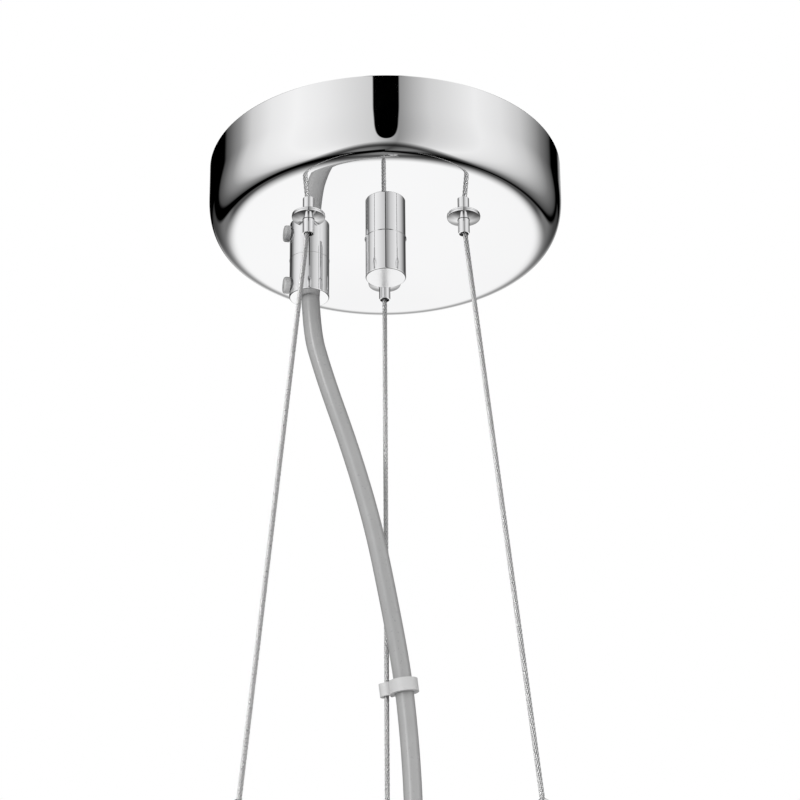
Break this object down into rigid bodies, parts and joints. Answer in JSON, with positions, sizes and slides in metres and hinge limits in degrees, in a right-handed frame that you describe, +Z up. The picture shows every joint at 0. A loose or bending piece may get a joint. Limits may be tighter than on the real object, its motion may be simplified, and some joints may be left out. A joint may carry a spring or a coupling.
{
  "type": "pendant canopy with suspension wires",
  "caption": "Shallow round ceiling canopy with a centre cap nut, spring-loaded wire grippers, taut splayed suspension wires, and a power cord in a side-clamped grip, clipped to a wire.",
  "frame": {"origin": "where the canopy's axis meets the ceiling, which is the crossbar's upper face", "axes": "+Z up into the ceiling along the canopy's axis, +X along the crossbar to the right of the picture, +Y away from the viewer"},
  "size_m": [0.12, 0.12, 0.2681],
  "materials": {
    "mirror_chrome": "polished mirror chrome plate",
    "zinc_steel": "bright zinc plate",
    "steel": "bare bright steel",
    "wire_rope": "stranded stainless steel wire rope",
    "brass": "bare turned brass",
    "grey_pvc": "satin grey PVC jacket",
    "grey_nylon": "moulded grey nylon",
    "clear_nylon": "translucent pale grey nylon",
    "white_plastic": "moulded off-white plastic",
    "live_brown": "brown wire insulation",
    "neutral_blue": "blue wire insulation",
    "earth_stripe": "green and yellow wire insulation"
  },
  "bodies": {
    "ceiling_bracket": {"mounting_crossbar": "zinc_steel", "centre_nipple": "zinc_steel", "nipple_lock_nut": "zinc_steel", "earth_screw": "brass"},
    "canopy": {"canopy_shell": "mirror_chrome", "gripper_washers": "zinc_steel", "gripper_nuts": "zinc_steel", "cord_grip_body": "mirror_chrome", "cord_grip_nipple": "zinc_steel", "cord_grip_nut": "zinc_steel", "power_cord": "grey_pvc", "cord_gland": "mirror_chrome", "live_lead": "live_brown", "neutral_lead": "neutral_blue", "earth_lead": "earth_stripe", "terminal_block": "white_plastic", "terminal_sleeves": "brass", "terminal_screws": "zinc_steel", "cord_clip": "grey_nylon", "gripper_body_left": "mirror_chrome", "gripper_spring_left": "steel", "gripper_cap_left": "zinc_steel", "suspension_wire_left": "wire_rope", "wire_stud_left": "mirror_chrome", "gripper_body_right": "mirror_chrome", "gripper_spring_right": "steel", "gripper_cap_right": "zinc_steel", "suspension_wire_right": "wire_rope", "wire_stud_right": "mirror_chrome", "gripper_body_far": "mirror_chrome", "gripper_spring_far": "steel", "gripper_cap_far": "zinc_steel", "suspension_wire_far": "wire_rope", "wire_stud_far": "mirror_chrome"},
    "cap_nut": {"centre_cap_nut": "mirror_chrome"},
    "clamp_screw": {"cord_clamp_screw": "clear_nylon"},
    "plunger_left": {"gripper_plunger_left": "mirror_chrome", "gripper_balls_left": "steel"},
    "plunger_right": {"gripper_plunger_right": "mirror_chrome", "gripper_balls_right": "steel"},
    "plunger_far": {"gripper_plunger_far": "mirror_chrome", "gripper_balls_far": "steel"}
  },
  "joints": [
    {"name": "canopy_drop", "type": "slide", "parent": "ceiling_bracket", "child": "canopy", "axis": [0, 0, -1], "range_m": [0, 0.008]},
    {"name": "cap_nut_turn", "type": "hinge", "parent": "canopy", "child": "cap_nut", "pos_m": [0, 0, 0], "axis": [0, 0, -1], "range_deg": [0, 2880]},
    {"name": "plunger_left_release", "type": "slide", "parent": "canopy", "child": "plunger_left", "axis": [0, 0, 1], "range_m": [0, 0.002], "stiffness_N_per_m": 250, "springref_m": -0.003, "deforming": ["gripper_spring_left"]},
    {"name": "plunger_right_release", "type": "slide", "parent": "canopy", "child": "plunger_right", "axis": [0, 0, 1], "range_m": [0, 0.002], "stiffness_N_per_m": 250, "springref_m": -0.003, "deforming": ["gripper_spring_right"]},
    {"name": "plunger_far_release", "type": "slide", "parent": "canopy", "child": "plunger_far", "axis": [0, 0, 1], "range_m": [0, 0.002], "stiffness_N_per_m": 250, "springref_m": -0.003, "deforming": ["gripper_spring_far"]},
    {"name": "clamp_screw_turn", "type": "hinge", "parent": "canopy", "child": "clamp_screw", "pos_m": [-0.02598, 0.015, -0.037], "axis": [-0.9848, -0.1736, 0], "range_deg": [0, 720]}
  ],
  "couplings": [
    {"joint": "cap_nut_turn", "follows": "canopy_drop", "rad_per_m": 6283.2}
  ]
}
